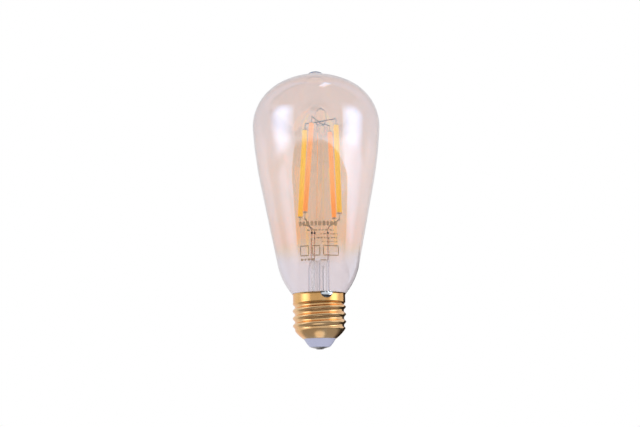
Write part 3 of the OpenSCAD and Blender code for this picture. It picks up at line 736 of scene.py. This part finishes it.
def lead_metal():
    """Nickel above the beads, copper-clad wire in the pressed glass and a white sleeve in the tube, which
    has a painted glow.
    """
    s = Surface("nickel_wire")
    z = s.split(s.position())["Z"]
    grain = s.ramp(s.noise(500, 4), 0.3, 0.7)
    nickel = s.blend(grain, rgb(0.46, 0.43, 0.40), rgb(0.58, 0.55, 0.52))
    sealing = s.blend(grain, rgb(0.82, 0.52, 0.42), rgb(0.94, 0.68, 0.58))
    sleeve = s.blend(grain, rgb(0.84, 0.83, 0.82), rgb(0.90, 0.89, 0.88))
    bare = s.ramp(z, (PRESS_Z - 1) * MM, (PRESS_Z + 1) * MM)
    lower = s.blend(bare, sleeve, sealing)
    s.set(Base_Color=s.blend(s.ramp(z, (WELD_Z - 0.6) * MM, (WELD_Z + 0.2) * MM), lower, nickel))
    s.set(Metallic=bare, Roughness=s.ramp(grain, 0, 1, 0.24, 0.36))
    # Painted glow: the sleeve below the press gives off light of its own.
    s.set(Emission_Color=sleeve, Emission_Strength=s.between(bare, 0.5, 0.0))
    s.bump(grain, 0.02)
    return s.material


def build_wires():
    """Bare leads and supports in the mount, and the driver's wires below it."""
    leaning_routes, straight_routes = wire_routes()
    for node, route in leaning_routes.items():
        build = Build()
        build.rings(wire_rings(route, WIRE_R))
        place(lean(outward(build.object(node + "_drawn", 50))), "nickel_wire", node)
    finishes = {"antenna_wire": ("antenna_jacket", JACKET_R), "live_wire": ("live_jacket", JACKET_R),
                "neutral_wire": ("tinned_wire", WIRE_R)}
    for node, route in straight_routes.items():
        slot, radius = finishes[node]
        build = Build()
        build.rings(wire_rings(route, radius))
        place(outward(build.object(node + "_drawn", 50)), slot, node)


def build_welds():
    """Beads where the leads change from sealing wire to support wire."""
    build = Build()
    for x in (WARM_X, COOL_X, COMMON_X):
        rings, poles = ball_rings((x, 0, WELD_Z), (WELD_R, WELD_R, WELD_R * 1.15))
        build.rings(rings, poles=poles)
    return place(lean(outward(build.object("weld_beads", 60))), "weld_metal", "lead_welds")


# ------------------------------------------------------------------ cap
def thread_radius(degrees, z):
    """Outer radius of the endless thread: a helix with crests narrower than its roots."""
    wave = (1 + math.cos(math.radians(360 * (z - THREAD_Z) / PITCH - degrees))) / 2
    return mix(ROOT_R, CREST_R, wave ** CREST_POWER)


def shell_radius(degrees, z):
    """Outer radius of the cap: the flared skirt, the rolled thread, then the collar and its lip."""
    h = min(z - SKIRT_Z, SKIRT_H)
    cone = SKIRT_R + SKIRT_SLOPE * h - SKIRT_CURVE * h * h
    upper = mix(COLLAR_R, LIP_R, ease((z - LIP_Z) / (RIM_Z - LIP_Z)))
    wall = mix(thread_radius(degrees, z), upper, ease((z - THREAD_TOP) / THREAD_RUNOUT + 0.5))
    soft = 0.25    # rounds the line where the cone meets the wall
    return (cone + wall - math.sqrt((cone - wall) ** 2 + soft * soft)) / 2


def build_shell():
    """One closed sheet: outside up, over the rolled rim, inside down, and round the lower edge."""
    sides = 240
    heights = [SKIRT_Z + 0.25 * i for i in range(14)]
    heights += [mix(THREAD_LOW, THREAD_TOP + 0.7, i / 110) for i in range(110)]
    heights += [mix(THREAD_TOP + 0.7, LIP_Z, i / 8) for i in range(8)]
    heights += [mix(LIP_Z, RIM_Z - 0.15, i / 7) for i in range(7)]

    def ring(z, inset=0.0, radius=None):
        points = []
        for k in range(sides):
            a = 2 * math.pi * k / sides
            r = shell_radius(360 * k / sides, z) - inset if radius is None else radius
            points.append((r * math.cos(a), r * math.sin(a), z))
        return points

    rings = [ring(z) for z in heights]
    for i in range(5):
        a = math.pi * i / 4
        rings.append(ring(RIM_Z - 0.15 + 0.15 * math.sin(a), 0.15 - 0.15 * math.cos(a)))
    rings += [ring(z, SHELL_T) for z in reversed(heights)]
    # The lower edge is curled in under the insulator's shoulder: radius and height
    curl = ((8.15, 5.42), (7.95, 5.36), (7.9, 5.25), (7.95, 5.15), (8.1, 5.13), (8.35, 5.24))
    rings += [ring(z, radius=r) for r, z in curl]
    build = Build()
    build.rings(rings, closed=True)
    return place(outward(build.object("threaded_shell", 70)), "cap_brass", "cap_shell")


def cap_brass():
    """Brass-plated sheet: fine lines round it from the rolling, paler where the wear is, redder on the
    collar. The lower thread's crests are painted paler too: a painted highlight, not wear.
    """
    s = Surface("cap_brass", Metallic=1.0)
    at = s.split(s.position())
    out = s.maths("SQRT", s.maths("ADD", s.maths("POWER", at["X"], 2.0), s.maths("POWER", at["Y"], 2.0)))
    scuffs = s.ramp(s.noise(240, 4, (1, 1, 0.5)), 0.55, 0.75, 0.0, 0.35)
    # Painted highlight: the crests of the lower thread are painted paler, as though lit.
    crests = s.times(s.ramp(out, 12.2 * MM, 13.1 * MM, 0.0, 0.25), s.ramp(at["Z"], 21.6 * MM, 20.6 * MM))
    edge = s.ramp(at["Z"], 6.4 * MM, 5.4 * MM, 0.0, 0.6)
    wear_and_highlight = s.maths("MAXIMUM", scuffs, s.maths("MAXIMUM", crests, edge))

    patchy = s.ramp(s.noise(70, 4), 0.3, 0.7)
    thread = s.blend(patchy, rgb(0.95, 0.485, 0.19), rgb(0.98, 0.56, 0.26))
    collar = s.blend(patchy, rgb(0.95, 0.435, 0.13), rgb(0.98, 0.51, 0.18))
    gold = s.blend(s.ramp(at["Z"], 20.6 * MM, 22.4 * MM), thread, collar)
    # Pale colour of the scuffs and edge wear, also used for the painted crest highlight.
    s.set(Base_Color=s.blend(wear_and_highlight, gold, rgb(0.99, 0.70, 0.40)))

    lines = s.noise(900, 4, (0.06, 0.06, 3.0), 0.6)
    s.set(Roughness=s.ramp(lines, 0.25, 0.75, 0.11, 0.23))
    s.bump(lines, 0.012, 0.45)
    return s.material


def build_insulator():
    """A turned moulding that fills the shell's lower edge and narrows to the contact."""
    corners = [(1.5, 1.15), (4.85, 1.15), (5.15, 1.4), (6.35, 2.8), (7.7, 4.9), (7.85, 5.2),
               (7.85, 5.5), (8.05, 5.6), (9.1, 6.6), (9.1, 7.0), (1.5, 7.0)]
    body = lathe("insulator_body", softened(corners, 0.25), 128, 35)
    return place(body, "insulator_plastic", "cap_insulator")


def build_contact():
    """A domed eyelet with a rolled edge and a shank through the insulator."""
    corners = [(1.0, 0.42), (2.2, 0.42), (2.25, 0.42), (3.3, 0.67), (4.1, 0.93), (4.5, 1.05),
               (4.5, 1.15), (1.45, 1.15), (1.45, 3.4), (1.0, 3.4)]
    plate = lathe("contact_plate", softened(corners, 0.12), 96, 35)
    return place(plate, "contact_metal", "centre_contact")


def build_tip_solder():
    """A low bead of solder that fills the eyelet."""
    outline = [Vector((0.0, 0.0))]
    for i in range(1, 13):
        a = i / 12
        outline.append(Vector((2.15 * a, 0.0 if a < 0.5 else 0.41 * ((a - 0.5) * 2) ** 2)))
    outline += [Vector((1.0, 0.44)), Vector((1.0, 1.45)), Vector((0.0, 1.5))]
    bead = lathe("tip_solder_bead", on_axis(outline), 96, 40)
    return place(bead, "solder", "tip_solder")


def build_side_solder():
    """Half a disc of solder that hangs from the rim: domed, with a rounded foot and a rippled top."""
    sides, rows = 48, 12
    wall, sunk = COLLAR_R + 0.05, -0.04
    flat_top, back_size, back_top = 0.03, 0.97, -0.1

    def point(across, down, lift):
        z = JOINT_Z - down
        lip = (LIP_R - COLLAR_R) * ease((z - LIP_Z) / (RIM_Z - LIP_Z))
        r = wall + lip + lift
        a = math.radians(JOINT_AZ) + across / COLLAR_R
        return (r * math.cos(a), r * math.sin(a), z)

    def around(size):
        wide, tall = JOINT_HALF_W * size, JOINT_DROP * size
        return [(wide * math.cos(a), tall * math.sin(a)) for a in turn_angles(sides)]

    rings = []
    for i in range(1, rows + 1):
        rho = i / rows
        ring = []
        for across, down in around(rho):
            down = down if down > 0 else down * flat_top
            lift = JOINT_OUT * (1 - rho ** 2) ** 0.6 * mix(0.12, 1.0, ease(down / 2.3))
            ripple = 0.09 * math.sin(4.3 * across + 2) * math.sin(5 * down + 1)
            ring.append(point(across, down, lift + ripple * (1 - rho)))
        rings.append(ring)
    back = [point(across, max(down, back_top), sunk) for across, down in around(back_size)]
    build = Build()
    build.rings(rings + [back], poles=[point(0, 0, JOINT_OUT * 0.12), point(0, 1.2, sunk)])
    return place(outward(build.object("side_solder_drop", 70)), "solder", "side_solder")


# ------------------------------------------------------------------ build everything
MOULDED = {
    "carrier_ceramic": dict(colour=(0.85, 0.85, 0.82), roughness=0.5),
    "led_die": dict(colour=(0.12, 0.2, 0.5), roughness=0.12, metallic=0.3),
    "insulator_plastic": dict(colour=(0.595, 0.60, 0.77), roughness=0.3, grain=250, depth=0.015, tone=0.05),
    "cement": dict(colour=(0.62, 0.58, 0.52), roughness=0.9, grain=300, depth=0.2, tone=0.25),
    "sleeve_film": dict(colour=(0.85, 0.85, 0.78), roughness=0.45),
    "chip_package": dict(colour=(0.025, 0.025, 0.028), roughness=0.55),
    "capacitor_sleeve": dict(colour=(0.02, 0.02, 0.035), roughness=0.28),
    "ferrite": dict(colour=(0.08, 0.08, 0.085), roughness=0.7),
    "resistor_coat": dict(colour=(0.10, 0.30, 0.18), roughness=0.5),
    "chip_ceramic": dict(colour=(0.45, 0.32, 0.18), roughness=0.5),
    # The antenna's jacket has a painted glow: emission of its own, though it is no lamp.
    "antenna_jacket": dict(colour=(0.78, 0.78, 0.80), roughness=0.5,
                           Emission_Color=rgb(0.8, 0.8, 0.82), Emission_Strength=0.4),
    "live_jacket": dict(colour=(0.5, 0.03, 0.02), roughness=0.45),
}
METALS = {
    "pin_metal": dict(colour=(0.93, 0.91, 0.88), roughness=0.36),
    "weld_metal": dict(colour=(0.20, 0.18, 0.18), roughness=0.4),
    "contact_metal": dict(colour=(0.36, 0.36, 0.37), roughness=0.2, grain=350, depth=0.04),
    "copper_winding": dict(colour=(0.72, 0.30, 0.12), roughness=0.3),
    "terminal_gold": dict(colour=(0.90, 0.65, 0.25), roughness=0.25),
    "shield_tin": dict(colour=(0.68, 0.68, 0.68), roughness=0.35),
    "tinned_wire": dict(colour=(0.7, 0.68, 0.64), roughness=0.3),
}
BOARDS = {
    "board_laminate": dict(mask=(0.02, 0.16, 0.06), track=(0.06, 0.28, 0.09)),
    "radio_laminate": dict(mask=(0.01, 0.06, 0.22), track=(0.03, 0.14, 0.38)),
}
# glow is the strength of each phosphor's painted glow.
PHOSPHORS = {
    "warm_phosphor": dict(colour=(1.0, 0.62, 0.36), deep=(1.0, 0.52, 0.26), foot=(1.0, 0.44, 0.13),
                          glow=0.78),
    "cool_phosphor": dict(colour=(1.0, 0.80, 0.22), deep=(0.97, 0.72, 0.14), foot=(1.0, 0.68, 0.10),
                          glow=0.70),
}
MATERIALS = {
    "amber_glass": lustre_glass(),
    "clear_glass": clear_glass("clear_glass", (0.97, 0.96, 0.95), ior=1.36, lines=0.004),
    "print_ink": ink(),
    "nickel_wire": lead_metal(),
    "cap_brass": cap_brass(),
    "solder": solder_metal(),
}
for maker, looks in ((finish_of, MOULDED), (metal_of, METALS), (board_mask, BOARDS), (phosphor, PHOSPHORS)):
    for slot, look in looks.items():
        MATERIALS[slot] = maker(slot, **look)
OUTSIDE = glass_outline(0.0)    # the print follows it

build_glass()
build_print()
build_stem()
build_exhaust()
build_rod()
for filament in FILAMENTS:
    build_filament(filament, "warm_phosphor" if filament.startswith("warm") else "cool_phosphor")
build_wires()
build_welds()
build_shell()
build_insulator()
build_contact()
build_tip_solder()
build_side_solder()

# The CAD solids that stay, such as the driver and the radio, take their slots' materials
SLOT_OF = {row["node"]: row["material_slot"] for row in frame["record"]["subparts"]}
for node, obj in frame["nodes"].items():
    obj.data.materials.clear()
    obj.data.materials.append(MATERIALS[SLOT_OF[node]])


# ------------------------------------------------------------------ studio
CENTRE = Vector((0, 0, 0.071))

# The room is painted by direction. Azimuth 0 is the front, and z is the sine of the height above the
# horizon. Brightness of its parts, where the white paper behind the lamp is 1:
WALLS, BACK_WALL, LOW_SIDES, CEILING, GAP = 0.88, 0.92, 0.68, 0.70, 0.10
UNDER, STRAIGHT_DOWN, AFTER_SCATTER = 0.38, 1.0, 0.85
DAYLIGHT, BACK_LIGHT, NEUTRAL_LIGHT = rgb(0.86, 1.0, 1.14), rgb(0.90, 0.88, 0.90), rgb(0.97, 0.98, 1.02)

# In degrees: left and right edge, low and high edge, then the azimuth and height of the lamp inside
SOFTBOXES = [(-92.6, -39.4, 0.5, 32.5, (-64, 15)), (48.0, 93.0, -2.0, 34.5, (69, 11))]

# Pale strips beside the dark gap: azimuth of the near and the far edge, low and high edge as z, brightness
STRIPS = [(0.90, 2.05, -0.16, 0.07, 1.45), (-1.06, -1.65, -0.24, -0.02, 1.05)]


def softbox(g, azimuth, height, left, right, low, high, middle):
    """Returns where a softbox stands, from 0 to 1, and how bright it is. It is brightest at its lamp."""
    def edge(value, degrees, way):
        return g.ramp(value, math.radians(degrees - way), math.radians(degrees + way))

    across = g.times(edge(azimuth, left, 1), edge(azimuth, right, -1))
    up = g.times(edge(height, low, 2), edge(height, high, -2))
    side = g.maths("DIVIDE", g.minus(azimuth, math.radians(middle[0])), math.radians(30))
    rise = g.maths("DIVIDE", g.minus(height, math.radians(middle[1])), math.radians(22))
    far = g.maths("SQRT", g.maths("ADD", g.times(side, side), g.times(rise, rise)))
    return g.times(across, up), g.ramp(far, 1.05, 0.1, 0.85, 2.7)


def strip_light(g, azimuth, z, near, far, low, high):
    """Returns where a strip stands, from 0 to 1. It fades towards its far edge."""
    soft = math.copysign(0.08, near)
    across = g.times(g.ramp(azimuth, near, near + soft), g.ramp(azimuth, far, mix(near, far, 0.45)))
    up = g.times(g.ramp(z, low, low + 0.06), g.ramp(z, high, high - 0.06))
    return g.times(across, up)


def camera_gap(g, x, z, front):
    """The dark gap at the camera's side, from 0 to 1. The glass throws it back as the amber window."""
    left = g.ramp(g.minus(front, g.times(z, 1.04)), 0.742, 0.772)
    right = g.ramp(g.minus(front, g.times(z, 4.5)), 0.90, 0.96)
    return g.times(g.between(g.ramp(x, -0.01, 0.01), left, right), g.ramp(z, 0.052, -0.02))


def room_walls(g, z, front, gap):
    """Brightness of the pale walls, the dimmer ceiling and floor and the dark gap."""
    behind = g.times(g.ramp(front, -0.75, -0.95), g.ramp(z, 0.55, 0.20))
    beside = g.times(g.ramp(front, 0.55, 0.40), g.ramp(front, -0.40, -0.25))
    low = g.times(g.ramp(z, -0.50, -0.40), g.ramp(z, 0.12, 0.0))
    upper = g.times(g.ramp(z, 0.02, 0.06), g.ramp(front, 0.0, 0.3))
    above = g.times(g.ramp(z, 0.45, 0.7), g.ramp(front, -0.4, -0.1))
    light = g.between(behind, WALLS, BACK_WALL)
    light = g.between(g.times(beside, low), light, LOW_SIDES)
    light = g.between(g.maths("MAXIMUM", upper, above), light, CEILING)
    light = g.between(gap, light, GAP)
    light = g.between(g.ramp(z, -0.50, -0.70), light, UNDER)
    return g.between(g.ramp(z, -0.955, -0.985), light, STRAIGHT_DOWN)


def build_studio():
    """Straight through the lamp there is white paper. Its reflections see the room instead."""
    world = bpy.data.worlds.new("studio")
    bpy.context.scene.world = world
    world.use_nodes = True
    world.node_tree.nodes.clear()
    g = Graph(world.node_tree)
    heading = g.split(g.node("ShaderNodeTexCoord").outputs["Generated"])
    x, y, z = heading["X"], heading["Y"], heading["Z"]
    azimuth, height = g.maths("ARCTAN2", x, g.times(y, -1.0)), g.maths("ARCSINE", z)
    front = g.maths("COSINE", azimuth)

    gap = camera_gap(g, x, z, front)
    light = room_walls(g, z, front, gap)
    colour = g.blend(g.ramp(front, -0.60, -0.90), DAYLIGHT, BACK_LIGHT)
    for box in SOFTBOXES:
        inside, glow = softbox(g, azimuth, height, *box)
        light, colour = g.between(inside, light, glow), g.blend(inside, colour, DAYLIGHT)
    for near, far, low, high, glow in STRIPS:
        inside = g.times(strip_light(g, azimuth, z, near, far, low, high), g.minus(1.0, gap))
        light = g.between(inside, light, glow)

    path = g.node("ShaderNodeLightPath").outputs
    scattered = g.maths("GREATER_THAN", path["Diffuse Depth"], 0.5)
    light, colour = g.between(scattered, light, AFTER_SCATTER), g.blend(scattered, colour, NEUTRAL_LIGHT)
    bounces = g.minus(path["Ray Depth"], path["Transmission Depth"])
    paper = g.node("ShaderNodeBackground", Color=rgb(1, 1, 1), Strength=1.0)
    room = g.node("ShaderNodeBackground", Color=colour, Strength=light)
    pick = g.node("ShaderNodeMixShader", Fac=g.maths("LESS_THAN", bounces, 1.5))
    g.link(room.outputs[0], pick.inputs[1])
    g.link(paper.outputs[0], pick.inputs[2])
    g.node("ShaderNodeOutputWorld", Surface=pick.outputs[0])


def out_at(azimuth, elevation):
    """Direction from the lamp; azimuth 0 is the front, towards -Y, and 90 is +X."""
    a, e = math.radians(azimuth), math.radians(elevation)
    return Vector((math.sin(a) * math.cos(e), -math.cos(a) * math.cos(e), math.sin(e)))


def build_top_light():
    """A small soft light above the lamp."""
    light = bpy.data.lights.new("top_light", "AREA")
    light.shape = "RECTANGLE"
    light.size, light.size_y, light.energy = 0.26, 0.10, 0.09
    obj = bpy.data.objects.new("top_light", light)
    out = out_at(70, 80)
    obj.location = CENTRE + out * 0.9
    obj.rotation_mode = "QUATERNION"
    obj.rotation_quaternion = out.to_track_quat("Z", "Y")
    obj.visible_camera = False
    bpy.context.scene.collection.objects.link(obj)


def card(name, corners, material, seen):
    """A flat card of the studio, which isn't part of the lamp. If it isn't seen, it shows in gloss only."""
    mesh = bpy.data.meshes.new(name)
    mesh.from_pydata(corners, [], [(0, 1, 2, 3)])
    mesh.materials.append(material)
    obj = bpy.data.objects.new(name, mesh)
    bpy.context.scene.collection.objects.link(obj)
    obj.visible_camera = obj.visible_transmission = obj.visible_shadow = seen
    obj.visible_glossy = not seen
    obj.visible_diffuse = False


def build_cards():
    """The floor below the lamp, and a black flag that darkens the cap's right edge."""
    half, z = 0.5, -0.16
    paper = finish_of("floor_paper", (0.96, 0.96, 0.96), 0.9, grain=40, depth=0.1, tone=0.02)
    corners = [(-half, -half, z), (half, -half, z), (half, half, z), (-half, half, z)]
    card("floor", corners, paper, seen=True)

    low, high = -0.05, 0.051
    felt = finish_of("flag_felt", (0.02, 0.018, 0.015), 0.9)
    a, b = out_at(126, 0) * 0.11, out_at(164, 0) * 0.11
    corners = [(a.x, a.y, low), (b.x, b.y, low), (b.x, b.y, high), (a.x, a.y, high)]
    card("flag", corners, felt, seen=False)


def build_camera():
    """Looks up at the lamp's middle from a little below it, with a slight roll."""
    data = bpy.data.cameras.new("camera")
    data.sensor_width, data.lens = 36.0, 53.36
    data.shift_x, data.shift_y = 0.0039, -0.01125
    data.clip_start, data.clip_end = 0.01, 20
    cam = bpy.data.objects.new("camera", data)
    back = out_at(0, -11.2)
    cam.location = CENTRE + back * 0.475
    cam.rotation_mode = "QUATERNION"
    roll = Quaternion(Vector((0, 0, 1)), math.radians(-1.0))
    cam.rotation_quaternion = (-back).to_track_quat("-Z", "Y") @ roll
    bpy.context.scene.collection.objects.link(cam)
    bpy.context.scene.camera = cam


build_studio()
build_top_light()
build_cards()
build_camera()
bpy.context.scene.view_settings.view_transform = "Standard"
